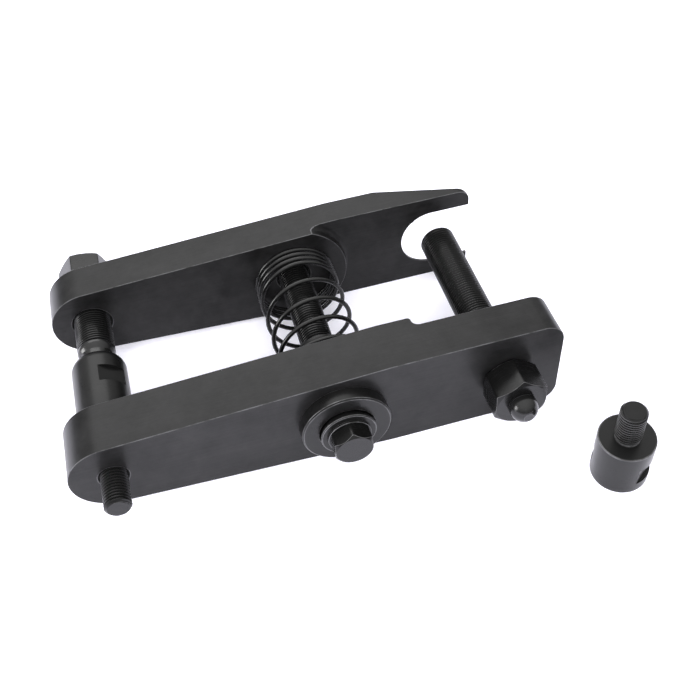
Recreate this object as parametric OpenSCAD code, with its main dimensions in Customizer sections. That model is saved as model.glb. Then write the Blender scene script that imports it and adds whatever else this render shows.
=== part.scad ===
// Two-arm screw press for parting tapered ball joints, with a spare thrust foot.
// The arms stand on their lower edges.  X runs along the arms from the forcing
// end to the fork, Y from the press arm to the fork arm, Z up.  The modules work
// from the centre bolt: X = 0 on its axis and Y = 0 midway through the press arm.
// from_bolt() then puts the origin on the floor, below the middle of the whole set.

/* [Arms] */
// Full width of both arms
arm_w = 52; // [50:0.5:54]
// Width of the round forcing end
end_w = 38.8; // [36:0.2:40]
// Where the tapering edges become parallel, from the centre bolt
kink_x = 23.6; // [20:0.2:28]
// Thickness of the press arm
press_t = 25.9; // [25:0.1:27]
// Thickness of the press arm beyond its milled step
press_thin_t = 20.7; // [19:0.1:22]
// Start of the press arm's milled step
step_x = 39.5; // [38:0.5:42]
// Square end of the press arm
press_end_x = 104.2; // [102:0.1:106]
// Corner radius of the press arm's square end
press_corner_r = 10; // [8:0.5:12]
// Thickness of the fork arm
fork_t = 20.3; // [19:0.1:21]
// Depth of the fork arm's milled recess
recess_depth = 5.6; // [5:0.1:6]
// Radius of the round boss left standing around the centre bolt
boss_r = 28; // [27:0.5:30]
// Fork tips, from the centre bolt
fork_end_x = 96.3; // [94:0.1:98]
// Where the wedge on the fork's outer face starts
wedge_x = 49; // [46:0.5:52]
// Thickness left at the fork tips
tip_t = 2; // [1.5:0.1:3]
// Corner radius of the fork tips
tip_corner_r = 6; // [4:0.5:7]
// Clear gap between the arms
arm_gap = 69.3; // [66:0.1:72]

/* [Fork slot] */
// Half of the slot's width, and the radius of its round end
slot_r = 16.4; // [15:0.1:17]
// Centre of the slot's round end
slot_x = 76.1; // [74:0.1:78]
// Height of the slot's straight wall, before it slopes away at 45 degrees
slot_land = 1.2; // [0.6:0.1:2]

/* [Centre bolt] */
// Thread diameter of the centre bolt
bolt_d = 16; // [14:0.5:16]
// Across flats of the centre bolt's head
bolt_af = 17; // [16:0.5:18]
// Radius of the spherical washer's ball face
ball_r = 13.5; // [13.4:0.1:14.5]
// Outer diameter of the spherical washer
ball_washer_d = 25.6; // [25:0.1:26]
// Outer diameter of the dished washer
dish_d = 41; // [40:0.5:42]
// Thickness of the dished washer
dish_t = 6.8; // [6.6:0.1:7]
// Outer diameter of the guide collar
collar_d = 25; // [24.6:0.2:26]
// Length of the guide collar beyond the press arm
collar_len = 15.1; // [12:0.1:17]

/* [Spring] */
// Mean diameter of the coil
coil_d = 39.6; // [39:0.2:40.4]
// Wire diameter
wire_d = 2.2; // [2:0.1:2.4]

/* [Forcing screw] */
// Distance of the forcing screw from the centre bolt
forcing_dist = 103; // [101:0.5:105]
// Thread diameter of the forcing screw
forcing_d = 18; // [17:0.5:20]
// Across flats of the forcing screw's head
forcing_af = 24; // [24:0.5:27]
// Height of the forcing screw's head
forcing_hex_h = 13; // [12:0.5:16]
// Diameter of the swivel nose
nose_d = 15.4; // [14.6:0.1:16]

/* [Thrust feet] */
// Body diameter of both feet
foot_d = 25.6; // [25:0.1:26]
// Body length of the fitted foot
foot_h = 41.2; // [40:0.1:42]
// Body length of the spare foot
spare_h = 24.9; // [24:0.1:26]
// Across the wrench flats of both feet
flats_w = 22; // [21:0.5:23]
// Thread diameter of both studs
stud_d = 12; // [10:0.5:14]
// Place of the spare foot along the arms, from the centre bolt
spare_x = 114.6; // [112:0.2:118]
// Place of the spare foot across the arms, from the middle of the press arm
spare_y = -60.25; // [-62:0.05:-58]

/* [Pressure screw] */
// Distance of the pressure screw from the centre bolt
pressure_dist = 78; // [77:0.5:79]
// Thread diameter of the pressure screw
pressure_d = 18; // [16:0.5:20]
// Across flats of the pressure screw's head
pressure_af = 24; // [24:0.5:27]
// Height of the pressure screw's head
pressure_hex_h = 15.8; // [15:0.1:17]
// Diameter of the domed thrust pin
pin_d = 13; // [12.6:0.1:13.4]

/* [Hidden] */

$fn = 64;
over = 1;
// Radial clearance of a shaft in its bore
fit_gap = 0.05;

// Planes across the arms
axis_z = arm_w / 2;
press_out = -press_t / 2;
press_in = press_t / 2;
press_thin = press_out + press_thin_t;
fork_in = press_in + arm_gap;
fork_out = fork_in + fork_t;
fork_thin = fork_in + recess_depth;

// Arms: the long edges are tangent to the round end
end_r = end_w / 2;
taper_run = forcing_dist + kink_x;
taper = acos(end_r / norm([taper_run, axis_z])) - atan2(taper_run, axis_z);
crest_r = 1.5;
step_fillet_r = 3.5;
boss_fillet_r = 3;
sink = 1;

// Centre bolt and its washers
bolt_r = bolt_d / 2;
dish_front = press_out - dish_t;
ball_front = dish_front - 3;
ball_rim_t = 1.2;
ball_washer_r = ball_washer_d / 2;
pivot_y = ball_front + ball_rim_t - sqrt(ball_r * ball_r - ball_washer_r * ball_washer_r);
bolt_flange_r = 9.9;
bolt_flange_t = 1.2;
bolt_hex_h = 7.8;
bolt_tip = fork_out + 3;
// The bolt rocks in these long holes: half height, and half length in arm and collar
slot_half_h = bolt_r + 0.6;
arm_slot_half = 10.4;
collar_slot_half = 11.1;
collar_seat = 4;

// Spring: closed turns at both ends, open turns between them
coil_r = coil_d / 2;
wire_r = wire_d / 2;
near_turns = 1.1;
open_turns = 4;
far_turns = 3.4;
near_pitch = 3.5;
far_pitch = 3.23;
coil_near = press_in + wire_r + 0.1;
coil_far = fork_in - wire_r - 0.1;
coil_turns = near_turns + open_turns + far_turns;
coil_steps = 16;
wire_sides = 6;

// Forcing screw and its nose
forcing_r = forcing_d / 2;
forcing_tip = fork_in - 19.8;
forcing_seat = fork_out + 6.5;
forcing_turn = 9;
foot_top = press_in + foot_h;
nose_tip = foot_top + 0.3;
nose_r = nose_d / 2;
nose_spigot_r = 4;
nose_spigot_len = 12;
thrust_ball_r = 3.6;

// Snap rings, and the grooves that take them
ring_r = 0.55;
groove_half = 0.65;

// Thrust feet
foot_r = foot_d / 2;
flats_h = 9.6;
stud_r = stud_d / 2;
stud_tip = press_out - 17.1;

// Pressure screw and its pin
pressure_r = pressure_d / 2;
pressure_seat = press_out - 1.4;
pressure_turn = 32;
pressure_front = pressure_seat - pressure_hex_h;
pressure_tip = press_out + 98;
pin_r = pin_d / 2;
pin_land = 2.3;
pin_flat_r = 2.4;
pin_spigot_r = 5;
pin_spigot_len = 20;

// Middle of the whole set, from the centre bolt
set_mid_x = (spare_x + foot_r - forcing_dist - end_r) / 2;
set_mid_y = (forcing_seat + forcing_hex_h + spare_y - foot_r) / 2;

// Points of a round stretch about c, from angle a0 to a1
function arc(c, r, a0, a1, n = 6) =
    [for (i = [0:n]) c + r * [cos(a0 + (a1 - a0) * i / n), sin(a0 + (a1 - a0) * i / n)]];

// Where the wire is after so many turns from the press arm
function coil_y(turns) = lookup(turns, [
    [0, coil_near],
    [near_turns, coil_near + near_turns * near_pitch],
    [near_turns + open_turns, coil_far - far_turns * far_pitch],
    [coil_turns, coil_far]]);

module from_bolt() {
    translate([-set_mid_x, -set_mid_y, 0]) children();
}

// Lays its children's +Z along +Y, on the horizontal axis at x
module along_y(x, y = 0) {
    translate([x, y, axis_z]) rotate([-90, 0, 0]) children();
}

// A turned piece on the horizontal axis at x, from [radius, y] points
module turned(x, points) {
    along_y(x) rotate_extrude() polygon(points);
}

// A round bore between two places along Y
module bore(x, r, y0, y1) {
    along_y(x, y0) cylinder(r = r, h = y1 - y0);
}

// An outline of [x, height from the axis] made solid between two places along Y
module slab(points, y0, y1) {
    translate([0, y1, axis_z]) rotate([90, 0, 0]) linear_extrude(y1 - y0) polygon(points);
}

// An [x, y] outline cut through the full width of an arm
module cut_down(points) {
    translate([0, 0, -over]) linear_extrude(arm_w + 2 * over) polygon(points);
}

// A hexagon with both ends chamfered by a 30 degree cone
module hex_head(x, af, y0, y1, turn) {
    corner_r = af / sqrt(3);
    face_r = af * 0.49;
    chamfer = (corner_r - face_r) * tan(30);
    intersection() {
        along_y(x, y0) rotate([0, 0, turn]) cylinder(r = corner_r, h = y1 - y0, $fn = 6);
        turned(x, [[0, y0], [face_r, y0], [corner_r, y0 + chamfer],
            [corner_r, y1 - chamfer], [face_r, y1], [0, y1]]);
    }
}

// The side outline that both arms share, up to a square end with round corners
module arm_blank(y0, y1, end_x, corner_r) {
    slab(concat(
        arc([-forcing_dist, 0], end_r, 90 + taper, 270 - taper, 24),
        [[kink_x, -axis_z]],
        arc([end_x - corner_r, corner_r - axis_z], corner_r, -90, 0, 10),
        arc([end_x - corner_r, axis_z - corner_r], corner_r, 0, 90, 10),
        [[kink_x, axis_z]]), y0, y1);
}

// A long hole in which the centre bolt can rock
module rock_slot(half_len, y0, y1) {
    run = half_len - slot_half_h;
    for (side = [-1, 1]) bore(side * run, slot_half_h, y0, y1);
    translate([-run, y0, axis_z - slot_half_h]) cube([2 * run, y1 - y0, 2 * slot_half_h]);
}

// A countersink in the face at y; its mouth opens towards side, -1 or +1
module countersink(x, r, y, side) {
    turned(x, [[0, y + side * over], [r + sink + over, y + side * over],
        [r, y - side * sink], [0, y - side * sink]]);
}

// Two wrench flats for a foot that stands on z = 0, from z0 up
module wrench_flats(z0, turn) {
    for (side = [0, 180]) rotate([0, 0, turn + side])
        translate([flats_w / 2, -foot_r, z0]) cube([foot_r, 2 * foot_r, flats_h]);
}

// The groove that a snap ring sits in, cut out of a bore
module ring_groove(x, r, y) {
    bore(x, r + groove_half, y - groove_half, y + groove_half);
}

// A split snap ring of round wire
module snap_ring(x, r, y) {
    along_y(x, y) difference() {
        rotate_extrude() translate([r, 0]) circle(r = ring_r, $fn = 24);
        translate([0, -over, -over]) cube([2 * r, 2 * over, 2 * over]);
    }
}

// Spigot points with a snap ring groove halfway along, from y0 to the closed end at y1
function spigot(r, y0, y1) = let (mid = (y0 + y1) / 2) [
    [r, y0], [r, mid - groove_half], [r - groove_half, mid - groove_half],
    [r - groove_half, mid + groove_half], [r, mid + groove_half], [r, y1], [0, y1]];

module press_arm() {
    color([0.13, 0.13, 0.14]) from_bolt() difference() {
        arm_blank(press_out, press_in, press_end_x, press_corner_r);
        cut_down(concat(
            [[press_end_x + over, press_in + over], [step_x - crest_r, press_in + over]],
            arc([step_x - crest_r, press_in - crest_r], crest_r, 90, 0),
            arc([step_x, press_thin] + [step_fillet_r, step_fillet_r], step_fillet_r, 200, 270),
            [[press_end_x + over, press_thin]]));
        rock_slot(arm_slot_half, press_out - over, press_in + over);
        bore(0, collar_d / 2 + 0.02, press_in - collar_seat, press_in + over);
        bore(-forcing_dist, stud_r + 0.02, press_out - over, press_in + over);
        countersink(-forcing_dist, stud_r, press_out, -1);
        bore(pressure_dist, pressure_r + fit_gap, press_out - over, press_in + over);
        countersink(pressure_dist, pressure_r, press_out, -1);
    }
}

module dished_washer() {
    // The cone touches the ball face at 45 degrees
    seat = (ball_r + fit_gap) * sqrt(2) + pivot_y;
    hole = bolt_r + 1;
    rim = 0.7;
    color([0.15, 0.15, 0.16]) from_bolt() turned(0, [
        [hole, press_out], [dish_d / 2, press_out], [dish_d / 2, dish_front + rim],
        [dish_d / 2 - rim, dish_front], [seat - dish_front, dish_front], [hole, seat - hole]]);
}

module guide_collar() {
    r = collar_d / 2;
    rim = 0.6;
    color([0.17, 0.17, 0.17]) from_bolt() difference() {
        turned(0, [[0, press_in - collar_seat], [r, press_in - collar_seat],
            [r, press_in + collar_len - rim], [r - rim, press_in + collar_len],
            [0, press_in + collar_len]]);
        rock_slot(collar_slot_half, press_in - collar_seat - over, press_in + collar_len + over);
    }
}

module thrust_foot() {
    shoulder_r = 6;
    undercut = 0.6;
    rim = 0.6;
    chamfer = 1.2;
    color([0.17, 0.17, 0.17]) from_bolt() difference() {
        turned(-forcing_dist, concat(
            [[0, stud_tip], [stud_r - chamfer, stud_tip], [stud_r, stud_tip + chamfer],
            [stud_r, press_out], [stud_r - undercut, press_out],
            [stud_r - undercut, press_out + sink], [stud_r, press_out + sink],
            [stud_r, press_in], [foot_r - rim, press_in], [foot_r, press_in + rim]],
            arc([foot_r - shoulder_r, foot_top - shoulder_r], shoulder_r, 0, 90, 8),
            [[0, foot_top]]));
        along_y(-forcing_dist, press_in) wrench_flats(19.5, -53);
    }
}

module spherical_washer() {
    hole = bolt_r + fit_gap;
    lip = 0.5;
    color([0.19, 0.19, 0.2]) from_bolt() turned(0, concat(
        [[hole, ball_front], [ball_washer_r - lip, ball_front], [ball_washer_r, ball_front + lip]],
        arc([0, pivot_y], ball_r, acos(ball_washer_r / ball_r), acos(hole / ball_r), 12)));
}

module centre_bolt() {
    chamfer = 1.2;
    edge = 0.3;
    flange = ball_front - bolt_flange_t;
    color([0.12, 0.12, 0.12]) from_bolt() union() {
        turned(0, [[0, flange], [bolt_flange_r - edge, flange], [bolt_flange_r, flange + edge],
            [bolt_flange_r, ball_front], [bolt_r, ball_front], [bolt_r, bolt_tip - chamfer],
            [bolt_r - chamfer, bolt_tip], [0, bolt_tip]]);
        // The head's rear chamfer lies inside the flange
        hex_head(0, bolt_af, flange - bolt_hex_h, flange + bolt_flange_t * 0.9, 30);
    }
}

module fork_arm() {
    bevel_y = fork_thin + slot_land;
    bevel = fork_out + over - bevel_y;
    color([0.12, 0.12, 0.13]) from_bolt() difference() {
        arm_blank(fork_in, fork_out, fork_end_x, tip_corner_r);
        bore(slot_x, slot_r, fork_in - over, fork_out + over);
        translate([slot_x, fork_in - over, axis_z - slot_r])
            cube([fork_end_x - slot_x + over, fork_t + 2 * over, 2 * slot_r]);
        // The slot's walls slope away towards the outer face
        turned(slot_x, [[0, bevel_y], [slot_r, bevel_y], [slot_r + bevel, bevel_y + bevel],
            [0, bevel_y + bevel]]);
        translate([slot_x, 0, axis_z]) rotate([90, 0, 90]) linear_extrude(fork_end_x - slot_x + over)
            polygon([[bevel_y, -slot_r], [bevel_y + bevel, -slot_r - bevel],
                [bevel_y + bevel, slot_r + bevel], [bevel_y, slot_r]]);
        // Recess around the boss
        difference() {
            translate([0, fork_in - over, -over])
                cube([fork_end_x + over, recess_depth + over, arm_w + 2 * over]);
            turned(0, concat(
                [[0, fork_in - 2 * over], [boss_r, fork_in - 2 * over]],
                arc([boss_r, fork_thin] + [boss_fillet_r, -boss_fillet_r], boss_fillet_r, 180, 90),
                [[boss_r + boss_fillet_r, fork_thin + over], [0, fork_thin + over]]));
        }
        // Wedge on the outer face
        cut_down([[wedge_x, fork_out], [fork_end_x, fork_thin + tip_t],
            [fork_end_x + over, fork_thin + tip_t], [fork_end_x + over, fork_out + over],
            [wedge_x, fork_out + over]]);
        bore(0, bolt_r + fit_gap, fork_in - over, fork_out + over);
        countersink(0, bolt_r, fork_in, -1);
        countersink(0, bolt_r, fork_out, 1);
        bore(-forcing_dist, forcing_r + fit_gap, fork_in - over, fork_out + over);
        countersink(-forcing_dist, forcing_r, fork_in, -1);
        countersink(-forcing_dist, forcing_r, fork_out, 1);
    }
}

// The wire is one closed tube swept along a right-handed coil
module return_spring() {
    rings = round(coil_steps * coil_turns);
    points = [
        for (i = [0:rings])
            let (turns = coil_turns * i / rings, a = 90 - 360 * (turns - near_turns))
            for (k = [0:wire_sides - 1])
                let (b = 360 * k / wire_sides, r = coil_r + wire_r * cos(b))
                [r * cos(a), coil_y(turns) + wire_r * sin(b), axis_z + r * sin(a)]];
    sides = [
        for (i = [0:rings - 1], k = [0:wire_sides - 1])
            let (j = (k + 1) % wire_sides, a = i * wire_sides, b = a + wire_sides)
            [a + k, a + j, b + j, b + k]];
    start_cap = [for (k = [wire_sides - 1:-1:0]) k];
    end_cap = [for (k = [0:wire_sides - 1]) rings * wire_sides + k];
    color([0.2, 0.2, 0.2]) from_bolt()
        polyhedron(points, concat(sides, [start_cap, end_cap]), convexity = 8);
}

module forcing_nose() {
    neck = forcing_tip - 4.4;
    dome_r = 40;
    dome_a = asin(nose_r / dome_r);
    bevel = 0.7;
    seat = forcing_tip - fit_gap;
    color([0.24, 0.24, 0.24]) from_bolt() turned(-forcing_dist, concat(
        arc([0, nose_tip + dome_r], dome_r, -90, dome_a - 90),
        [[nose_r, neck], [forcing_r, seat - bevel], [forcing_r, seat]],
        spigot(nose_spigot_r, seat, forcing_tip + nose_spigot_len)));
}

module nose_ring() {
    color([0.3, 0.3, 0.3]) from_bolt()
        snap_ring(-forcing_dist, nose_spigot_r, forcing_tip + nose_spigot_len / 2);
}

module thrust_ball() {
    ball_y = forcing_tip + nose_spigot_len + thrust_ball_r + fit_gap;
    color([0.6, 0.6, 0.6]) from_bolt() along_y(-forcing_dist, ball_y) sphere(r = thrust_ball_r);
}

module forcing_screw() {
    chamfer = 1;
    ball_end = forcing_tip + nose_spigot_len + 2 * thrust_ball_r + 0.3;
    color([0.16, 0.16, 0.16]) from_bolt() difference() {
        union() {
            turned(-forcing_dist, [[0, forcing_tip], [forcing_r - chamfer, forcing_tip],
                [forcing_r, forcing_tip + chamfer], [forcing_r, forcing_seat + over],
                [0, forcing_seat + over]]);
            hex_head(-forcing_dist, forcing_af, forcing_seat, forcing_seat + forcing_hex_h, forcing_turn);
        }
        bore(-forcing_dist, nose_spigot_r + fit_gap, forcing_tip - over, ball_end);
        ring_groove(-forcing_dist, nose_spigot_r, forcing_tip + nose_spigot_len / 2);
    }
}

module thrust_pin() {
    land = pressure_front - pin_land;
    seat = pressure_front - fit_gap;
    flat_a = asin(pin_flat_r / pin_r) - 90;
    color([0.3, 0.3, 0.3]) from_bolt() turned(pressure_dist, concat(
        [[0, land + pin_r * sin(flat_a)]], arc([0, land], pin_r, flat_a, 0, 9), [[pin_r, seat]],
        spigot(pin_spigot_r, seat, pressure_front + pin_spigot_len)));
}

module pin_ring() {
    color([0.3, 0.3, 0.3]) from_bolt()
        snap_ring(pressure_dist, pin_spigot_r, pressure_front + pin_spigot_len / 2);
}

module pressure_screw() {
    chamfer = 1.2;
    face_r = 11.4;
    face_t = 0.6;
    color([0.15, 0.15, 0.15]) from_bolt() difference() {
        union() {
            turned(pressure_dist, [[0, pressure_seat - over], [face_r, pressure_seat - over],
                [face_r, pressure_seat + face_t], [pressure_r, pressure_seat + face_t],
                [pressure_r, pressure_tip - chamfer], [pressure_r - chamfer, pressure_tip],
                [0, pressure_tip]]);
            hex_head(pressure_dist, pressure_af, pressure_front, pressure_seat, pressure_turn);
        }
        bore(pressure_dist, pin_spigot_r + fit_gap, pressure_front - over,
            pressure_front + pin_spigot_len + 0.2);
        ring_groove(pressure_dist, pin_spigot_r, pressure_front + pin_spigot_len / 2);
    }
}

module spare_foot() {
    rim = 0.7;
    chamfer = 1;
    stud_top = spare_h + 18.7;
    neck_r = stud_r - 1;
    neck_h = 2;
    color([0.22, 0.22, 0.23]) from_bolt() translate([spare_x, spare_y, 0]) difference() {
        rotate_extrude() polygon([
            [0, 0], [foot_r - rim, 0], [foot_r, rim], [foot_r, spare_h - rim],
            [foot_r - rim, spare_h], [neck_r, spare_h], [neck_r, spare_h + neck_h],
            [stud_r, spare_h + neck_h + 1], [stud_r, stud_top - chamfer],
            [stud_r - chamfer, stud_top], [0, stud_top]]);
        wrench_flats(5.8, -54);
    }
}

press_arm();
dished_washer();
guide_collar();
thrust_foot();
spherical_washer();
centre_bolt();
fork_arm();
return_spring();
forcing_nose();
nose_ring();
thrust_ball();
forcing_screw();
thrust_pin();
pin_ring();
pressure_screw();
spare_foot();
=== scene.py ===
import math

import bmesh
import bpy
import numpy as np
from mathutils import Matrix, Vector


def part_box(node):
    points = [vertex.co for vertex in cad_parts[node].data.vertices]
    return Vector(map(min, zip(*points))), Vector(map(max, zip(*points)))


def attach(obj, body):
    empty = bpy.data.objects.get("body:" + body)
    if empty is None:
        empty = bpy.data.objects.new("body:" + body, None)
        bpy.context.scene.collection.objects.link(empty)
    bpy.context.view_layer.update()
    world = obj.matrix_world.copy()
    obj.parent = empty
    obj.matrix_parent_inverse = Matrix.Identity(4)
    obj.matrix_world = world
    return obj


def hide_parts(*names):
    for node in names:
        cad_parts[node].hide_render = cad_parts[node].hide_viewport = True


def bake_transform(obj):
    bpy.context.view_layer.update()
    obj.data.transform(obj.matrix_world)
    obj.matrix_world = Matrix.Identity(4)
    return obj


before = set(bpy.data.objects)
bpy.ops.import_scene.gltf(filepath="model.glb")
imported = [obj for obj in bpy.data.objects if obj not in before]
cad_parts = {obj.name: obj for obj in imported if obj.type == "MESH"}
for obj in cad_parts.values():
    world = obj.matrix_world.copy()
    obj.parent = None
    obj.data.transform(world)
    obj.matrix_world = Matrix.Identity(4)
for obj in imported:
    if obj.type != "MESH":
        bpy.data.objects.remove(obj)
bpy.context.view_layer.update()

# Lengths in this script are millimetres, and MM turns them into Blender's metres.
# A turned piece is made upright about its own axis and then laid along +Y, so its
# height runs along +Y from the middle of the press arm, as in the CAD.
MM = 0.001
# Points of a mesh that are nearer than this are one point
CLOSE = 0.0005


# ---------------------------------------------------------------- places from the frame

def span(node):
    """Lowest and highest corner of a CAD node, in millimetres."""
    low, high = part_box(node)
    return low / MM, high / MM


def middle(node):
    low, high = span(node)
    return (low + high) / 2


PRESS_LOW, PRESS_HIGH = span("press_arm")
FORK_LOW, FORK_HIGH = span("fork_arm")
BOLT_X = middle("spherical_washer").x
FORCING_X = middle("thrust_ball").x
PRESSURE_X = middle("thrust_pin").x
AXIS_Z = PRESS_HIGH.z / 2
PRESS_MID = (PRESS_LOW.y + PRESS_HIGH.y) / 2
SPARE = middle("spare_foot")

# Planes across the arms, from the middle of the press arm
PRESS_OUT = PRESS_LOW.y - PRESS_MID
PRESS_IN = PRESS_HIGH.y - PRESS_MID
FORK_IN = FORK_LOW.y - PRESS_MID
FORK_OUT = FORK_HIGH.y - PRESS_MID


def heights(node):
    """Where a node that lies along Y starts and ends, from the middle of the press arm."""
    low, high = span(node)
    return low.y - PRESS_MID, high.y - PRESS_MID


def outer_radius(node):
    """Outer radius of a turned CAD node that lies along Y."""
    low, high = span(node)
    return (high.z - low.z) / 2


# ---------------------------------------------------------------- sizes that pieces share

PITCH = 1.5
BOLT_R = 8
SCREW_R = 9
STUD_R = 6
# Room between a hole and the screw or stud in it
ROOM = 0.05
# How far a cutting tool reaches past what it cuts
OVER = 1
# Half the height of the long hole that the centre bolt rocks in
ROCK_HOLE = 8.6


# ---------------------------------------------------------------- camera, floor and light

def make_camera():
    """A camera above the press arm, turned a little to the right."""
    place = Vector((-52.9, -289.05, 362.56))
    forward = Vector((0.14292, 0.64533, -0.75041)).normalized()
    right = Vector((0.96092, -0.27209, -0.05097)).normalized()
    data = bpy.data.cameras.new("camera")
    data.sensor_width = 36
    data.lens = 48.55
    data.clip_start = 0.01
    data.clip_end = 20
    camera = bpy.data.objects.new("camera", data)
    bpy.context.scene.collection.objects.link(camera)
    turn = Matrix((right, right.cross(forward), -forward)).transposed()
    camera.matrix_world = Matrix.Translation(place * MM) @ turn.to_4x4()
    bpy.context.scene.camera = camera


def make_floor():
    bpy.ops.mesh.primitive_plane_add(size=12)
    floor = bpy.context.object
    floor.name = "floor"
    floor.data.materials.append(floor_paint())


def make_light(name, place, aim, size, power, mirrored=True):
    """A soft box of a width and a height, placed and aimed in metres.

    Unless it is mirrored, it lights the pieces but isn't seen in their gloss."""
    data = bpy.data.lights.new(name, "AREA")
    data.shape = "RECTANGLE"
    data.size, data.size_y = size
    data.energy = power
    light = bpy.data.objects.new(name, data)
    bpy.context.scene.collection.objects.link(light)
    light.location = place
    light.visible_glossy = mirrored
    light.rotation_mode = "QUATERNION"
    light.rotation_quaternion = (Vector(place) - Vector(aim)).to_track_quat("Z", "Y")


def make_world(low, high):
    """White light from all round, growing from low at the horizon to high overhead.

    Seen directly, the room beyond the floor is plain white."""
    world = bpy.data.worlds.new("studio")
    world.use_nodes = True
    tree = world.node_tree
    sky = tree.nodes["Background"]
    sky.inputs["Color"].default_value = (1, 1, 1, 1)
    way = tree.nodes.new("ShaderNodeTexCoord")
    parts = tree.nodes.new("ShaderNodeSeparateXYZ")
    rise = tree.nodes.new("ShaderNodeMapRange")
    rise.inputs["To Min"].default_value = low
    rise.inputs["To Max"].default_value = high
    tree.links.new(way.outputs["Generated"], parts.inputs[0])
    tree.links.new(parts.outputs["Z"], rise.inputs["Value"])
    seen = tree.nodes.new("ShaderNodeLightPath")
    pick = tree.nodes.new("ShaderNodeMix")
    pick.inputs["B"].default_value = 1.0
    tree.links.new(seen.outputs["Is Camera Ray"], pick.inputs["Factor"])
    tree.links.new(rise.outputs["Result"], pick.inputs["A"])
    tree.links.new(pick.outputs["Result"], sky.inputs["Strength"])
    bpy.context.scene.world = world


# ---------------------------------------------------------------- materials

class Paint:
    """A material under construction, with short calls for the nodes it needs."""

    def __init__(self, name):
        self.material = bpy.data.materials.new(name)
        self.material.use_nodes = True
        self.tree = self.material.node_tree
        self.shader = self.tree.nodes["Principled BSDF"]
        self.place = self.add("ShaderNodeTexCoord").outputs["Object"]

    def add(self, kind, **settings):
        node = self.tree.nodes.new(kind)
        for key, value in settings.items():
            setattr(node, key, value)
        return node

    def link(self, source, target):
        self.tree.links.new(source, target)

    def math(self, operation, first, second):
        """One sum of two values, each a number or the output of a node."""
        node = self.add("ShaderNodeMath", operation=operation)
        for socket, value in zip(node.inputs, (first, second)):
            if isinstance(value, (int, float)):
                socket.default_value = value
            else:
                self.link(value, socket)
        return node.outputs[0]

    def weigh(self, first, second, share):
        """Two values added together, the second one with a share of the whole."""
        rest = self.math("MULTIPLY", first, 1 - share)
        return self.math("ADD", rest, self.math("MULTIPLY", second, share))

    def stretched(self, scale):
        """The place on the piece, scaled along each axis."""
        node = self.add("ShaderNodeMapping")
        node.inputs["Scale"].default_value = scale
        self.link(self.place, node.inputs["Vector"])
        return node.outputs[0]

    def noise(self, scale, detail, vector=None, rough=0.5):
        node = self.add("ShaderNodeTexNoise")
        node.inputs["Scale"].default_value = scale
        node.inputs["Detail"].default_value = detail
        node.inputs["Roughness"].default_value = rough
        self.link(vector or self.place, node.inputs["Vector"])
        return node.outputs["Fac"]

    def rings(self, scale, detail):
        """Noise that changes only with height and radius, as a lathe tool leaves it."""
        parts = self.add("ShaderNodeSeparateXYZ")
        self.link(self.place, parts.inputs[0])
        flat = self.add("ShaderNodeCombineXYZ")
        self.link(parts.outputs["X"], flat.inputs["X"])
        self.link(parts.outputs["Y"], flat.inputs["Y"])
        radius = self.add("ShaderNodeVectorMath", operation="LENGTH")
        self.link(flat.outputs[0], radius.inputs[0])
        node = self.add("ShaderNodeTexNoise", noise_dimensions="1D")
        node.inputs["Scale"].default_value = scale
        node.inputs["Detail"].default_value = detail
        self.link(self.math("ADD", radius.outputs["Value"], parts.outputs["Z"]), node.inputs["W"])
        return node.outputs["Fac"]

    def ramp(self, value, low, high, at=(0.3, 0.7)):
        """A value from low to high, numbers or colours, as the input goes between two places."""
        node = self.add("ShaderNodeMapRange", clamp=True)
        node.inputs["From Min"].default_value, node.inputs["From Max"].default_value = at
        self.link(value, node.inputs["Value"])
        if isinstance(low, tuple):
            return self.mix(node.outputs["Result"], low, high)
        node.inputs["To Min"].default_value = low
        node.inputs["To Max"].default_value = high
        return node.outputs["Result"]

    def mix(self, factor, low, high):
        """A colour between two colours."""
        node = self.add("ShaderNodeMix", data_type="RGBA")
        self.link(factor, node.inputs["Factor"])
        node.inputs["A"].default_value = (*low, 1)
        node.inputs["B"].default_value = (*high, 1)
        return node.outputs["Result"]

    def bump(self, height, distance, strength):
        """Adds a relief, in millimetres, on top of any that is there."""
        node = self.add("ShaderNodeBump")
        node.inputs["Distance"].default_value = distance * MM
        node.inputs["Strength"].default_value = strength
        self.link(height, node.inputs["Height"])
        socket = self.shader.inputs["Normal"]
        if socket.is_linked:
            self.link(socket.links[0].from_socket, node.inputs["Normal"])
        self.link(node.outputs["Normal"], socket)

    def set(self, **values):
        """Shader settings by name: a number, a colour or the output of a node."""
        for key, value in values.items():
            socket = self.shader.inputs[key.replace("_", " ").title().replace("Ior", "IOR")]
            if isinstance(value, (int, float)):
                socket.default_value = value
            elif isinstance(value, tuple):
                socket.default_value = (*value, 1)
            else:
                self.link(value, socket)


def grey(tone):
    return (tone, tone, tone)


def floor_paint():
    paint = Paint("floor_white")
    grain = paint.noise(3.0, 2.0)
    paint.set(base_color=paint.ramp(grain, (0.87, 0.86, 0.96), (0.90, 0.89, 0.99)), roughness=0.9)
    paint.set(specular_ior_level=0.1, emission_color=(0.97, 0.97, 1.0), emission_strength=0.2)
    return paint.material


def milled_black(name, dark, pale, shine):
    """Black oxide on ground flat bar: long fine grinding lines and soft cloudy patches."""
    paint = Paint(name)
    clouds = paint.noise(60, 6.0, rough=0.72)
    grain = paint.noise(2600, 2.0)
    lines = paint.noise(1, 3.0, vector=paint.stretched((30, 2200, 2200)), rough=0.7)
    tone = paint.weigh(clouds, lines, 0.3)
    paint.set(base_color=paint.ramp(tone, dark, pale), metallic=0.0, specular_ior_level=0.16)
    paint.set(roughness=paint.ramp(tone, shine - 0.05, shine + 0.06))
    paint.bump(lines, 0.006, 0.6)
    paint.bump(grain, 0.01, 0.5)
    return paint.material


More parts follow.
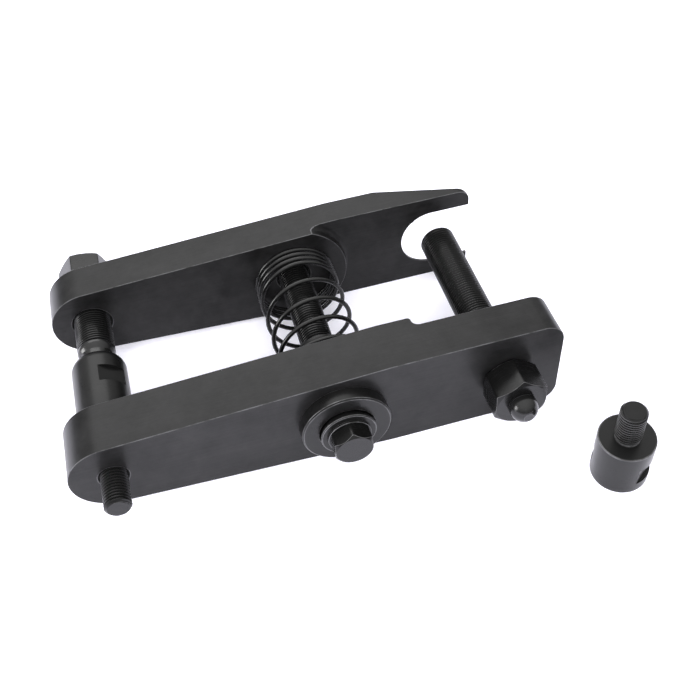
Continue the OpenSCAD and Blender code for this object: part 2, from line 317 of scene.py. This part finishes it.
def turned_black(name, dark, pale, shine, relief, gloss):
    """Black oxide on turned steel: fine rings from the lathe and slight patches."""
    paint = Paint(name)
    clouds = paint.noise(90, 3.0)
    rings = paint.rings(3200, 2.0)
    grain = paint.noise(3000, 2.0)
    tone = paint.weigh(clouds, rings, 0.4)
    paint.set(base_color=paint.ramp(tone, dark, pale), metallic=0.0, specular_ior_level=gloss)
    paint.set(roughness=paint.ramp(tone, shine - 0.06, shine + 0.06))
    paint.bump(rings, relief, 0.6)
    paint.bump(grain, 0.008, 0.4)
    return paint.material


def rubbed_edge_and_highlight(name, dark, bright, amount):
    """An edge whose black is rubbed through here and there; its lighter colour is also a painted highlight
    along edges and thread crests.
    """
    paint = Paint(name)
    patches = paint.noise(140, 4.0, rough=0.7)
    rub = paint.ramp(patches, 0.0, 1.0, at=(amount, amount + 0.25))
    paint.set(base_color=paint.mix(rub, dark, bright))
    paint.set(metallic=paint.math("MULTIPLY", rub, 0.8))
    paint.set(roughness=paint.ramp(patches, 0.32, 0.45))
    paint.bump(paint.noise(2500, 2.0), 0.006, 0.4)
    return paint.material


def bare_steel(name, tone, shine):
    """Polished hard steel, with faint streaks."""
    paint = Paint(name)
    streaks = paint.noise(700, 3.0)
    paint.set(base_color=paint.ramp(streaks, tuple(0.85 * c for c in tone), tone), metallic=0.9)
    paint.set(roughness=paint.ramp(streaks, shine - 0.04, shine + 0.06))
    return paint.material


# ---------------------------------------------------------------- mesh helpers

def finish_mesh(name, mesh, materials, body, node, place=None, sharp=40):
    """Cleans a mesh of millimetres, makes it an object and hands it to the frame.

    A piece without a body is left unattached, without even shading."""
    bm = bmesh.new()
    bm.from_mesh(mesh)
    bmesh.ops.remove_doubles(bm, verts=bm.verts, dist=CLOSE)
    bmesh.ops.dissolve_degenerate(bm, edges=bm.edges, dist=CLOSE)
    bmesh.ops.recalc_face_normals(bm, faces=bm.faces)
    bmesh.ops.scale(bm, vec=(MM, MM, MM), verts=bm.verts)
    for face in bm.faces:
        face.smooth = True
    bm.to_mesh(mesh)
    bm.free()
    mesh.set_sharp_from_angle(angle=math.radians(sharp))
    for material in materials:
        mesh.materials.append(material)
    piece = bpy.data.objects.new(name, mesh)
    bpy.context.scene.collection.objects.link(piece)
    if place is not None:
        piece.matrix_world = place
    if body is not None:
        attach(piece, body)
    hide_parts(node)
    if body is not None:
        shade = piece.modifiers.new("even_shading", "WEIGHTED_NORMAL")
        shade.keep_sharp = True
        shade.weight = 80
    return piece


def plain_mesh(name, verts, faces):
    mesh = bpy.data.meshes.new(name)
    mesh.from_pydata(verts, [], faces)
    return mesh


def arc(centre, radius, start, end, steps):
    """Points of a round stretch, from one angle to another in degrees."""
    points = []
    for i in range(steps + 1):
        a = math.radians(start + (end - start) * i / steps)
        points.append((centre[0] + radius * math.cos(a), centre[1] + radius * math.sin(a)))
    return points


def along_y(x, unit=MM):
    """The place of a piece whose height runs along +Y from the middle of the press arm."""
    lay = Matrix.Rotation(math.radians(-90), 4, "X")
    return Matrix.Translation(Vector((x, PRESS_MID, AXIS_Z)) * unit) @ lay


class Turned:
    """A surface made of rings about its own axis, from pole to pole or round in a loop.

    A ring has one radius and one height, or one of each for every angle, so hexagons
    and threads are rings too. The faces that lead to a marked ring take the second material,
    the rubbed-edge colour that is also a painted highlight."""

    def __init__(self, angles):
        self.angles = np.asarray(angles)
        self.rings = []
        self.wear_and_highlight = []

    def ring(self, radius, height, wear_and_highlight=False):
        ones = np.ones(len(self.angles))
        self.rings.append((radius * ones, height * ones))
        self.wear_and_highlight.append(wear_and_highlight)

    def profile(self, points, soft=0.25):
        """Rings through [radius, height] points, each corner between them softened and marked for the
        rubbed-edge colour, a painted highlight as well as wear.

        The first and last point, slight bends and points on the axis stay as they are."""
        slight = 20
        count = len(points)
        for i, point in enumerate(points):
            here = Vector(point)
            if i in (0, count - 1):
                self.ring(*here)
                continue
            before = Vector(points[i - 1]) - here
            after = Vector(points[i + 1]) - here
            cut = min(soft, before.length * 0.45, after.length * 0.45)
            turn = math.degrees(before.angle(-after))
            if turn < slight or point[0] == 0:
                self.ring(*here)
                continue
            first = here + before.normalized() * cut
            last = here + after.normalized() * cut
            bend = (first + last) / 4 + here / 2
            self.ring(*first)
            self.ring(*bend, wear_and_highlight=True)
            self.ring(*last, wear_and_highlight=True)

    def hexagon(self, across, low, high, turn, top_chamfer=True, slant=30):
        """A hexagonal head between two heights, its corners chamfered by a cone at the ends."""
        # How much is taken off each corner
        blunt = 0.18
        corner = across / math.sqrt(3) - blunt
        face = across * 0.49
        a = np.radians((self.angles - turn) % 60 - 30)
        radius = np.minimum(across / 2 / np.cos(a), corner)
        rise = np.maximum(radius - face, 0) * math.tan(math.radians(slant))
        slope = blunt * 0.7
        edge = np.maximum(rise - slope * 0.6, 0.01)
        self.ring(face, low)
        self.ring(radius - slope, low + edge)
        # Corner chamfers are marked for the rubbed-edge colour: wear, and a painted highlight along the
        # corners.
        self.ring(radius, low + rise + slope, wear_and_highlight=True)
        if top_chamfer:
            self.ring(radius, high - rise - slope)
            self.ring(radius - slope, high - edge, wear_and_highlight=True)
            self.ring(face, high)
        else:
            self.ring(radius, high)

    def thread(self, radius, low, high, low_chamfer=0.0, high_chamfer=0.0):
        """A right-handed thread between two heights, thinned by a cone at either end."""
        depth = 0.58 * PITCH
        # One turn: the share of the pitch, the share of the depth, and where the crest is marked for the
        # rubbed-edge colour, a painted highlight as well as wear
        groove = ((0.0, 0.0, False), (0.26, 0.0, False), (0.32, 0.1, True), (0.52, 1.0, False),
                  (0.64, 1.0, False), (0.90, 0.1, False))
        lead = PITCH * (self.angles % 360) / 360
        turns = int((high - low) / PITCH) + 2
        for n in range(-1, turns):
            for step, down, crest in groove:
                height = np.clip(low + (n + step) * PITCH + lead, low, high)
                r = radius - depth * down
                if low_chamfer:
                    r = np.minimum(r, radius - low_chamfer + (height - low))
                if high_chamfer:
                    r = np.minimum(r, radius - high_chamfer + (high - height))
                self.ring(r, height, wear_and_highlight=crest)

    def mesh(self, name):
        """The rings joined into a mesh in millimetres. Cleaning makes a ring of no radius a point."""
        a = np.radians(self.angles)
        count = len(a)
        verts = []
        faces = []
        kinds = []
        for radius, height in self.rings:
            verts.extend(zip(radius * np.cos(a), radius * np.sin(a), height))
        for i in range(len(self.rings) - 1):
            for k in range(count):
                j = (k + 1) % count
                faces.append((i * count + k, i * count + j, (i + 1) * count + j, (i + 1) * count + k))
                kinds.append(1 if self.wear_and_highlight[i + 1] else 0)
        mesh = plain_mesh(name, verts, faces)
        mesh.polygons.foreach_set("material_index", kinds)
        return mesh


def round_angles(steps=96):
    return [360 * i / steps for i in range(steps)]


def angles_with(extra, steps):
    """Even angles and a few extra ones, without the even ones that come close to an extra one."""
    near = 1.2
    even = [a for a in round_angles(steps) if all(abs((a - e + 180) % 360 - 180) > near for e in extra)]
    return sorted([e % 360 for e in extra] + even)


def hex_angles(turn):
    """Even angles, and two close to each corner of a hexagon."""
    return angles_with([turn + 60 * i + side * 0.9 for i in range(6) for side in (-1, 1)], 84)


def prism(name, points, low, high, axis):
    """An outline made solid between two places: along Y from [x, z], or along Z from [x, y]."""
    verts = []
    for level in (low, high):
        for u, v in points:
            verts.append((u, level, v) if axis == "Y" else (u, v, level))
    count = len(points)
    faces = [tuple(range(count)), tuple(range(2 * count - 1, count - 1, -1))]
    for k in range(count):
        j = (k + 1) % count
        faces.append((k, count + k, count + j, j))
    return solid(plain_mesh(name, verts, faces))


def solid(mesh):
    """A plain object of a mesh in millimetres, with its faces turned outwards."""
    bm = bmesh.new()
    bm.from_mesh(mesh)
    bmesh.ops.remove_doubles(bm, verts=bm.verts, dist=CLOSE)
    bmesh.ops.recalc_face_normals(bm, faces=bm.faces)
    bm.to_mesh(mesh)
    bm.free()
    body = bpy.data.objects.new(mesh.name, mesh)
    bpy.context.scene.collection.objects.link(body)
    return body


def cutter(name, x, points, steps=96):
    """A turned cutting tool on the horizontal axis at x, from [radius, y] points."""
    form = Turned(round_angles(steps))
    for point in points:
        form.ring(*point)
    mesh = form.mesh(name)
    mesh.transform(along_y(x, unit=1))
    return solid(mesh)


def shaped(body):
    """The mesh of a body with its modifiers applied."""
    bpy.context.view_layer.update()
    graph = bpy.context.evaluated_depsgraph_get()
    return bpy.data.meshes.new_from_object(body.evaluated_get(graph))


def carve(body, tool):
    """Cuts a tool out of a body and deletes the tool."""
    step = body.modifiers.new("carve", "BOOLEAN")
    step.operation = "DIFFERENCE"
    step.solver = "EXACT"
    step.object = tool
    mesh = shaped(body)
    body.modifiers.clear()
    body.data = mesh
    bpy.data.objects.remove(tool)


def soften(body, width):
    """Joins flat faces, then bevels the sharp edges and gives them the second material, the rubbed-edge
    colour that is also a painted highlight along them.
    """
    # Cuts that meet leave points this close together
    seam = 0.002
    bm = bmesh.new()
    bm.from_mesh(body.data)
    bmesh.ops.remove_doubles(bm, verts=bm.verts, dist=seam)
    bmesh.ops.dissolve_limit(bm, angle_limit=math.radians(0.5), verts=bm.verts, edges=bm.edges)
    bm.to_mesh(body.data)
    bm.free()
    body.data.materials.clear()
    for slot_name in ("body", "edge"):
        body.data.materials.append(bpy.data.materials.new(slot_name))
    step = body.modifiers.new("bevel", "BEVEL")
    step.width = width
    step.segments = 2
    step.limit_method = "ANGLE"
    step.angle_limit = math.radians(25)
    step.material = 1
    step.use_clamp_overlap = False
    mesh = shaped(body)
    kinds = [face.material_index for face in mesh.polygons]
    mesh.materials.clear()
    mesh.polygons.foreach_set("material_index", kinds)
    bpy.data.objects.remove(body)
    return mesh


# ---------------------------------------------------------------- the arms

END_R = 19.4
KINK_X = BOLT_X + 23.6
ARM_EDGE = 0.3


def arm_outline(end_x, corner_r):
    """The [x, z] outline that both arms share: a round end, tapering edges and a square end."""
    run = KINK_X - FORCING_X
    taper = math.degrees(math.acos(END_R / math.hypot(run, AXIS_Z)) - math.atan2(run, AXIS_Z))
    top = PRESS_HIGH.z
    return (arc((FORCING_X, AXIS_Z), END_R, 90 + taper, 270 - taper, 56)
            + [(KINK_X, 0)]
            + arc((end_x - corner_r, corner_r), corner_r, -90, 0, 20)
            + arc((end_x - corner_r, top - corner_r), corner_r, 0, 90, 20)
            + [(KINK_X, top)])


def cut_bore(body, x, radius, low, high, sink, both_ends=True):
    """A round hole through an arm, countersunk at its low end or at both."""
    mouth = radius + sink + OVER
    points = [(0, low - OVER), (mouth, low - OVER), (radius, low + sink)]
    if both_ends:
        points += [(radius, high - sink), (mouth, high + OVER)]
    else:
        points += [(radius, high + OVER)]
    carve(body, cutter("bore", x, points + [(0, high + OVER)]))


def arm_piece(name, body, node, member, materials):
    mesh = soften(body, ARM_EDGE)
    return finish_mesh(name, mesh, materials, member, node, sharp=50)


def press_arm(materials):
    body = prism("press_blank", arm_outline(PRESS_HIGH.x, 10), PRESS_LOW.y, PRESS_HIGH.y, "Y")
    step_x = BOLT_X + 39.5
    thin = PRESS_LOW.y + 20.7
    crest = 1.5
    fillet = 3.5
    beyond = PRESS_HIGH.x + OVER
    above = PRESS_HIGH.y + OVER
    step = ([(beyond, above), (step_x - crest, above)]
            + arc((step_x - crest, PRESS_HIGH.y - crest), crest, 90, 0, 8)
            + arc((step_x + fillet, thin + fillet), fillet, 200, 270, 10)
            + [(beyond, thin)])
    carve(body, prism("step", step, -OVER, PRESS_HIGH.z + OVER, "Z"))
    run = 10.4 - ROCK_HOLE
    hole = (arc((BOLT_X + run, AXIS_Z), ROCK_HOLE, -90, 90, 32)
            + arc((BOLT_X - run, AXIS_Z), ROCK_HOLE, 90, 270, 32))
    carve(body, prism("rock_hole", hole, PRESS_LOW.y - OVER, above, "Y"))
    collar_r = outer_radius("guide_collar") + 0.02
    seat = PRESS_IN - 4
    carve(body, cutter("collar_seat", BOLT_X, [
        (0, seat), (collar_r, seat), (collar_r, PRESS_IN + OVER), (0, PRESS_IN + OVER)]))
    cut_bore(body, FORCING_X, STUD_R + ROOM, PRESS_OUT, PRESS_IN, 0.9, both_ends=False)
    cut_bore(body, PRESSURE_X, SCREW_R + ROOM, PRESS_OUT, PRESS_IN, 0.9, both_ends=False)
    return arm_piece("press_arm_body", body, "press_arm", "press_side", materials)


def slanted_slot(name, x0, x1, half, start, deep):
    """A cutting tool for the slot's straight walls, widening at 45 degrees from start."""
    verts = []
    for x in (x0, x1):
        for y, reach in ((start, half), (start + deep, half + deep)):
            verts.append((x, PRESS_MID + y, AXIS_Z - reach))
            verts.append((x, PRESS_MID + y, AXIS_Z + reach))
    faces = [(0, 1, 3, 2), (4, 6, 7, 5), (0, 4, 5, 1), (2, 3, 7, 6), (0, 2, 6, 4), (1, 5, 7, 3)]
    return solid(plain_mesh(name, verts, faces))


def fork_arm(materials):
    body = prism("fork_blank", arm_outline(FORK_HIGH.x, 6), FORK_LOW.y, FORK_HIGH.y, "Y")
    recess = 5.6
    thin = FORK_IN + recess
    boss = 28
    fillet = 3
    tip = FORK_HIGH.x
    beyond = tip + OVER
    above = FORK_HIGH.y + OVER
    bottom = -OVER
    top = FORK_HIGH.z + OVER
    # The recess, around the boss that stays round the centre bolt
    floor_y = PRESS_MID + thin
    pocket = prism("recess", [(BOLT_X, bottom), (beyond, bottom), (beyond, top), (BOLT_X, top)],
                   FORK_LOW.y - OVER, floor_y, "Y")
    island = cutter("boss", BOLT_X, [(0, FORK_IN - 2 * OVER), (boss, FORK_IN - 2 * OVER)]
                    + arc((boss + fillet, thin - fillet), fillet, 180, 90, 10)
                    + [(boss + fillet + 0.2, thin + OVER), (0, thin + OVER)], steps=160)
    carve(pocket, island)
    carve(body, pocket)
    # The wedge on the outer face, which leaves the tip 2 mm thick
    wedge_x = BOLT_X + 49
    tip_y = floor_y + 2
    wedge = [(wedge_x, FORK_HIGH.y), (tip, tip_y), (beyond, tip_y), (beyond, above), (wedge_x, above)]
    carve(body, prism("wedge", wedge, bottom, top, "Z"))
    slot_r = 16.4
    slot_x = BOLT_X + 76.1
    slot_end = tip + 2 * OVER
    slot = (arc((slot_x, AXIS_Z), slot_r, 90, 270, 64)
            + [(slot_end, AXIS_Z - slot_r), (slot_end, AXIS_Z + slot_r)])
    carve(body, prism("slot", slot, FORK_LOW.y - OVER, above, "Y"))
    # The slot's walls slope away towards the outer face
    land = 1.2
    start = thin + land
    deep = FORK_OUT + OVER - start
    carve(body, cutter("slot_cone", slot_x, [(0, start), (slot_r, start), (slot_r + deep, start + deep),
                                             (0, start + deep)], steps=128))
    carve(body, slanted_slot("slot_slant", slot_x, slot_end, slot_r, start, deep))
    cut_bore(body, BOLT_X, BOLT_R + ROOM, FORK_IN, FORK_OUT, 1)
    cut_bore(body, FORCING_X, SCREW_R + ROOM, FORK_IN, FORK_OUT, 0.9)
    return arm_piece("fork_arm_body", body, "fork_arm", "fork_side", materials)


# ---------------------------------------------------------------- the centre bolt's stack

def dished_washer(materials):
    front, back = heights("dished_washer")
    r = outer_radius("dished_washer")
    mouth = 13.07
    hole = 9
    form = Turned(round_angles(128))
    loop = [(hole, back - 1), (hole, back), (r, back), (r, front + 0.7), (r - 0.7, front),
            (mouth, front), (hole, front + mouth - hole), (hole, back - 1)]
    form.profile(loop, soft=0.2)
    return finish_mesh("dished_washer_ring", form.mesh("dished_washer_ring"), materials, "press_side",
                       "dished_washer", along_y(BOLT_X))


def spherical_washer(materials):
    front, back = heights("spherical_washer")
    r = outer_radius("spherical_washer")
    ball = 13.5
    hole = BOLT_R + ROOM
    rim = front + 1.2
    pivot = rim - math.sqrt(ball * ball - r * r)
    form = Turned(round_angles(112))
    outer, inner = (math.degrees(math.acos(side / ball)) for side in (r, hole))
    curve = arc((0, pivot), ball, outer, inner, 14)
    form.profile([(hole, front + 1), (hole, front), (r - 0.5, front), (r, front + 0.5), curve[0]], soft=0.2)
    for point in curve[1:]:
        form.ring(*point)
    form.ring(hole, front + 1)
    return finish_mesh("spherical_washer_ring", form.mesh("spherical_washer_ring"), materials, "swivel",
                       "spherical_washer", along_y(BOLT_X))


def centre_bolt(materials):
    front, tip = heights("centre_bolt")
    seat = heights("spherical_washer")[0]
    flange = seat - 1.2
    flange_r = outer_radius("centre_bolt")
    neck_r = 8.7
    form = Turned(hex_angles(30))
    form.ring(0, front)
    form.hexagon(17, front, flange, 30, top_chamfer=False, slant=48)
    form.profile([(neck_r, flange), (flange_r, flange), (flange_r, seat), (BOLT_R, seat),
                  (BOLT_R, PRESS_OUT)], soft=0.3)
    form.thread(BOLT_R, PRESS_OUT, tip, high_chamfer=1.2)
    form.ring(0, tip)
    return finish_mesh("centre_bolt_screw", form.mesh("centre_bolt_screw"), materials, "bolt",
                       "centre_bolt", along_y(BOLT_X), sharp=25)


def guide_collar(materials):
    low, high = heights("guide_collar")
    r = outer_radius("guide_collar")
    form = Turned(round_angles(120))
    # The long hole: two flats and two round ends
    run = 11.1 - ROCK_HOLE
    a = np.radians(form.angles)
    flat = ROCK_HOLE / np.maximum(np.abs(np.sin(a)), 1e-6)
    curved = run * np.abs(np.cos(a)) + np.sqrt(ROCK_HOLE ** 2 - (run * np.sin(a)) ** 2)
    hole = np.where(flat * np.abs(np.cos(a)) <= run, flat, curved)
    edge = 0.3
    form.ring(hole, low)
    form.profile([(r - 0.5, low), (r, low + 0.5), (r, high - 0.6), (r - 0.6, high)], soft=0.2)
    form.ring(hole + edge, high)
    # The bore's mouth is marked for the rubbed-edge colour: wear, and a painted highlight round the rim.
    form.ring(hole, high - edge, wear_and_highlight=True)
    form.ring(hole, low)
    return finish_mesh("guide_collar_sleeve", form.mesh("guide_collar_sleeve"), materials, "press_side",
                       "guide_collar", along_y(BOLT_X))


# ---------------------------------------------------------------- the spring

COIL_R = 19.8
WIRE_R = 1.1
NEAR_TURNS = 1.1
OPEN_TURNS = 4
FAR_TURNS = 3.4
COIL_TURNS = NEAR_TURNS + OPEN_TURNS + FAR_TURNS
# The wire's rise in each turn of the close coils
NEAR_RISE = 3.5
FAR_RISE = 3.23


def coil_height(turns):
    """Height of the wire after so many turns from the press arm."""
    gap = 0.1
    near = PRESS_IN + WIRE_R + gap
    far = FORK_IN - WIRE_R - gap
    return float(np.interp(turns, (0, NEAR_TURNS, NEAR_TURNS + OPEN_TURNS, COIL_TURNS),
                           (near, near + NEAR_TURNS * NEAR_RISE, far - FAR_TURNS * FAR_RISE, far)))


def coil_point(turns, side):
    """A point on the wire's surface, in millimetres."""
    a = math.radians(90 - 360 * (turns - NEAR_TURNS))
    r = COIL_R + WIRE_R * math.cos(side)
    return (BOLT_X + r * math.cos(a), PRESS_MID + coil_height(turns) + WIRE_R * math.sin(side),
            AXIS_Z + r * math.sin(a))


def coil(name, first, last, materials):
    """The wire between two numbers of turns, as a closed tube."""
    sides = 14
    rings = round((last - first) * 44)
    verts = [coil_point(first + (last - first) * i / rings, 2 * math.pi * k / sides)
             for i in range(rings + 1) for k in range(sides)]
    faces = [(i * sides + k, i * sides + (k + 1) % sides, (i + 1) * sides + (k + 1) % sides,
              (i + 1) * sides + k) for i in range(rings) for k in range(sides)]
    faces += [tuple(range(sides)), tuple(rings * sides + k for k in reversed(range(sides)))]
    return finish_mesh(name, plain_mesh(name, verts, faces), materials, None,
                       "return_spring")


def spring(material):
    """Two lengths of wire, split halfway along the open turns."""
    split = NEAR_TURNS + OPEN_TURNS / 2
    near = coil("spring_near_half", 0, split, [material])
    far = coil("spring_far_half", split, COIL_TURNS, [material])

    def at(y):
        return Vector((BOLT_X, y, AXIS_Z)) * MM

    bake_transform(near)
    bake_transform(far)


# ---------------------------------------------------------------- the forcing screw

SPIGOT_R = 4


def forcing_screw(materials):
    tip, top = heights("forcing_screw")
    head_h = 13
    seat = top - head_h
    bore = SPIGOT_R + ROOM
    bore_end = heights("thrust_ball")[1] + 0.25
    form = Turned(hex_angles(9))
    form.ring(0, bore_end)
    form.ring(bore, bore_end)
    form.ring(bore, tip)
    form.thread(SCREW_R, tip, seat, low_chamfer=0.8)
    form.hexagon(24, seat, top, 9)
    form.ring(0, top)
    return finish_mesh("forcing_screw_body", form.mesh("forcing_screw_body"), materials, "forcing",
                       "forcing_screw", along_y(FORCING_X), sharp=25)


def forcing_nose(materials):
    tip, spigot_end = heights("forcing_nose")
    seat = heights("forcing_screw")[0] - ROOM
    shoulder = seat - 1
    waist = seat - 4.4
    r = outer_radius("forcing_nose") - 1.3
    dome = 40
    rim = tip + dome - math.sqrt(dome * dome - r * r)
    form = Turned(round_angles(96))
    for point in arc((0, tip + dome), dome, -90, -90 + math.degrees(math.asin(r / dome)), 8)[:-1]:
        form.ring(*point)
    form.profile([(r - 0.5, rim - 0.1), (r, rim + 0.4), (r, waist)], soft=0.2)
    steps = 8
    for i in range(1, steps + 1):
        bend = math.sin(math.radians(90 * i / steps))
        form.ring(r + (SCREW_R - r) * bend, waist + (shoulder - waist) * i / steps)
    form.profile([(SCREW_R, seat - 0.6), (SCREW_R, seat), (SPIGOT_R, seat), (SPIGOT_R, seat + 1)],
                 soft=0.25)
    form.ring(SPIGOT_R, spigot_end)
    form.ring(0, spigot_end)
    return finish_mesh("forcing_nose_body", form.mesh("forcing_nose_body"), materials, "nose",
                       "forcing_nose", along_y(FORCING_X))


# ---------------------------------------------------------------- the thrust feet

FOOT_R = 12.8
FLATS = 22
FLATS_H = 9.6


def foot_angles(turn):
    """Even angles, with one at each end of both wrench flats."""
    reach = math.degrees(math.acos(FLATS / 2 / FOOT_R))
    ends = [turn + side + way * reach for side in (0, 180) for way in (-1, 1)]
    return angles_with(ends, 108)


def add_flats(form, low, turn):
    """Two wrench flats cut across a foot from a height up."""
    high = low + FLATS_H
    across = np.abs(np.cos(np.radians(form.angles - turn)))
    radius = np.minimum(FOOT_R, FLATS / 2 / np.maximum(across, 1e-6))
    form.ring(FOOT_R, low)
    form.ring(radius, low)
    form.ring(radius, high)
    form.ring(FOOT_R, high)


def thrust_foot(materials):
    stud_tip, top = heights("thrust_foot")
    turn = -53
    shoulder = 6
    thread_end = PRESS_OUT + 3
    plain_r = STUD_R - 0.5
    form = Turned(foot_angles(turn))
    form.ring(0, stud_tip)
    form.thread(STUD_R, stud_tip, thread_end, low_chamfer=1.2)
    form.ring(plain_r, thread_end)
    form.profile([(plain_r, PRESS_IN), (FOOT_R, PRESS_IN), (FOOT_R, PRESS_IN + 4)], soft=0.4)
    add_flats(form, PRESS_IN + 19.5, turn)
    for point in arc((FOOT_R - shoulder, top - shoulder), shoulder, 0, 90, 14):
        form.ring(*point)
    form.ring(0, top)
    return finish_mesh("thrust_foot_body", form.mesh("thrust_foot_body"), materials, "press_side",
                       "thrust_foot", along_y(FORCING_X), sharp=25)


def spare_foot(materials):
    top = span("spare_foot")[1].z
    turn = -54
    height = 24.9
    groove_r = STUD_R - 1
    thread_start = height + 1.4
    form = Turned(foot_angles(turn))
    form.ring(0, 0)
    form.profile([(4, 0), (FOOT_R, 0), (FOOT_R, 3)], soft=0.7)
    add_flats(form, 5.8, turn)
    form.profile([(FOOT_R, 16), (FOOT_R, height), (groove_r, height), (groove_r, thread_start)], soft=0.6)
    form.thread(STUD_R, thread_start, top, low_chamfer=1.0, high_chamfer=1.1)
    form.ring(0, top)
    place = Matrix.Translation(Vector((SPARE.x, SPARE.y, 0)) * MM)
    return finish_mesh("spare_foot_body", form.mesh("spare_foot_body"), materials, "spare",
                       "spare_foot", place, sharp=25)


# ---------------------------------------------------------------- the pressure screw

PIN_SPIGOT_R = 5


def pressure_screw(materials):
    front, tip = heights("pressure_screw")
    head_h = 15.8
    seat = front + head_h
    flange_end = seat + 0.6
    flange_r = 11.4
    bore = PIN_SPIGOT_R + ROOM
    bore_end = heights("thrust_pin")[1] + 0.15
    form = Turned(hex_angles(32))
    form.ring(0, bore_end)
    form.ring(bore, bore_end)
    form.ring(bore, front)
    form.hexagon(24, front, seat, 32)
    form.profile([(flange_r, seat), (flange_r, flange_end), (SCREW_R, flange_end)], soft=0.15)
    form.thread(SCREW_R, flange_end, tip, high_chamfer=1.2)
    form.ring(0, tip)
    return finish_mesh("pressure_screw_body", form.mesh("pressure_screw_body"), materials, "pressure",
                       "pressure_screw", along_y(PRESSURE_X), sharp=25)


def thrust_pin(materials):
    tip, spigot_end = heights("thrust_pin")
    front = heights("pressure_screw")[0]
    seat = front - ROOM
    r = outer_radius("thrust_pin")
    flat_r = 2.4
    flat_a = math.degrees(math.asin(flat_r / r)) - 90
    centre = tip - r * math.sin(math.radians(flat_a))
    form = Turned(round_angles(96))
    form.ring(0, tip)
    form.ring(flat_r - 0.25, tip)
    dome = arc((0, centre), r, flat_a, 0, 16)
    # The dome's rim is marked for the rubbed-edge colour: wear, and a painted highlight round it.
    form.ring(*dome[0], wear_and_highlight=True)
    for point in dome[1:]:
        form.ring(*point)
    form.profile([(r, front - 0.7), (r, seat), (PIN_SPIGOT_R, seat), (PIN_SPIGOT_R, front + 1)], soft=0.3)
    form.ring(PIN_SPIGOT_R, spigot_end)
    form.ring(0, spigot_end)
    return finish_mesh("thrust_pin_body", form.mesh("thrust_pin_body"), materials, "pin",
                       "thrust_pin", along_y(PRESSURE_X))


# ---------------------------------------------------------------- everything

def build():
    # Edge colours: black rubbed through to lighter steel, which is also a painted highlight on bevels,
    # corners and thread crests.
    edge = rubbed_edge_and_highlight("rubbed_edge_and_highlight", grey(0.006), (0.10, 0.10, 0.105), 0.38)
    fine_edge = rubbed_edge_and_highlight("fine_rubbed_edge_and_highlight", grey(0.012), (0.12, 0.12, 0.125), 0.44)
    arm = milled_black("black_arm", grey(0.001), (0.015, 0.0147, 0.0152), 0.33)
    turned = turned_black("black_turned", grey(0.003), grey(0.007), 0.31, 0.004, 0.2)
    screw = turned_black("black_screw", grey(0.002), grey(0.004), 0.24, 0.003, 0.24)
    nose = turned_black("black_nose", grey(0.003), grey(0.008), 0.22, 0.004, 0.35)
    wire = turned_black("black_wire", grey(0.002), grey(0.004), 0.25, 0.002, 0.4)
    press_arm([arm, edge])
    fork_arm([arm, edge])
    dished_washer([turned, fine_edge])
    spherical_washer([turned, fine_edge])
    centre_bolt([screw, fine_edge])
    guide_collar([turned, edge])
    spring(wire)
    forcing_screw([screw, fine_edge])
    forcing_nose([nose, fine_edge])
    thrust_foot([turned, fine_edge])
    spare_foot([turned, fine_edge])
    pressure_screw([screw, fine_edge])
    thrust_pin([nose, edge])
    ball = bare_steel("bearing_steel", (0.5, 0.5, 0.52), 0.12)
    ring = bare_steel("ring_steel_wire", (0.25, 0.25, 0.26), 0.3)
    for node, material in (("thrust_ball", ball), ("nose_ring", ring), ("pin_ring", ring)):
        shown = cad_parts[node]
        shown.data.materials.clear()
        shown.data.materials.append(material)


bpy.context.scene.view_settings.view_transform = "Standard"
make_camera()
make_world(0.1, 2.0)
make_floor()
make_light("front_soft_box", (-0.1, -0.7, 0.6), (0, -0.15, 0), (0.5, 0.4), 11, mirrored=False)
make_light("left_soft_box", (-1.0, 0.0, 0.3), (0, 0, 0.03), (0.4, 0.4), 8)
make_light("back_soft_box", (-0.1, 0.85, 0.95), (0, 0, 0.03), (1.1, 0.4), 5)
build()
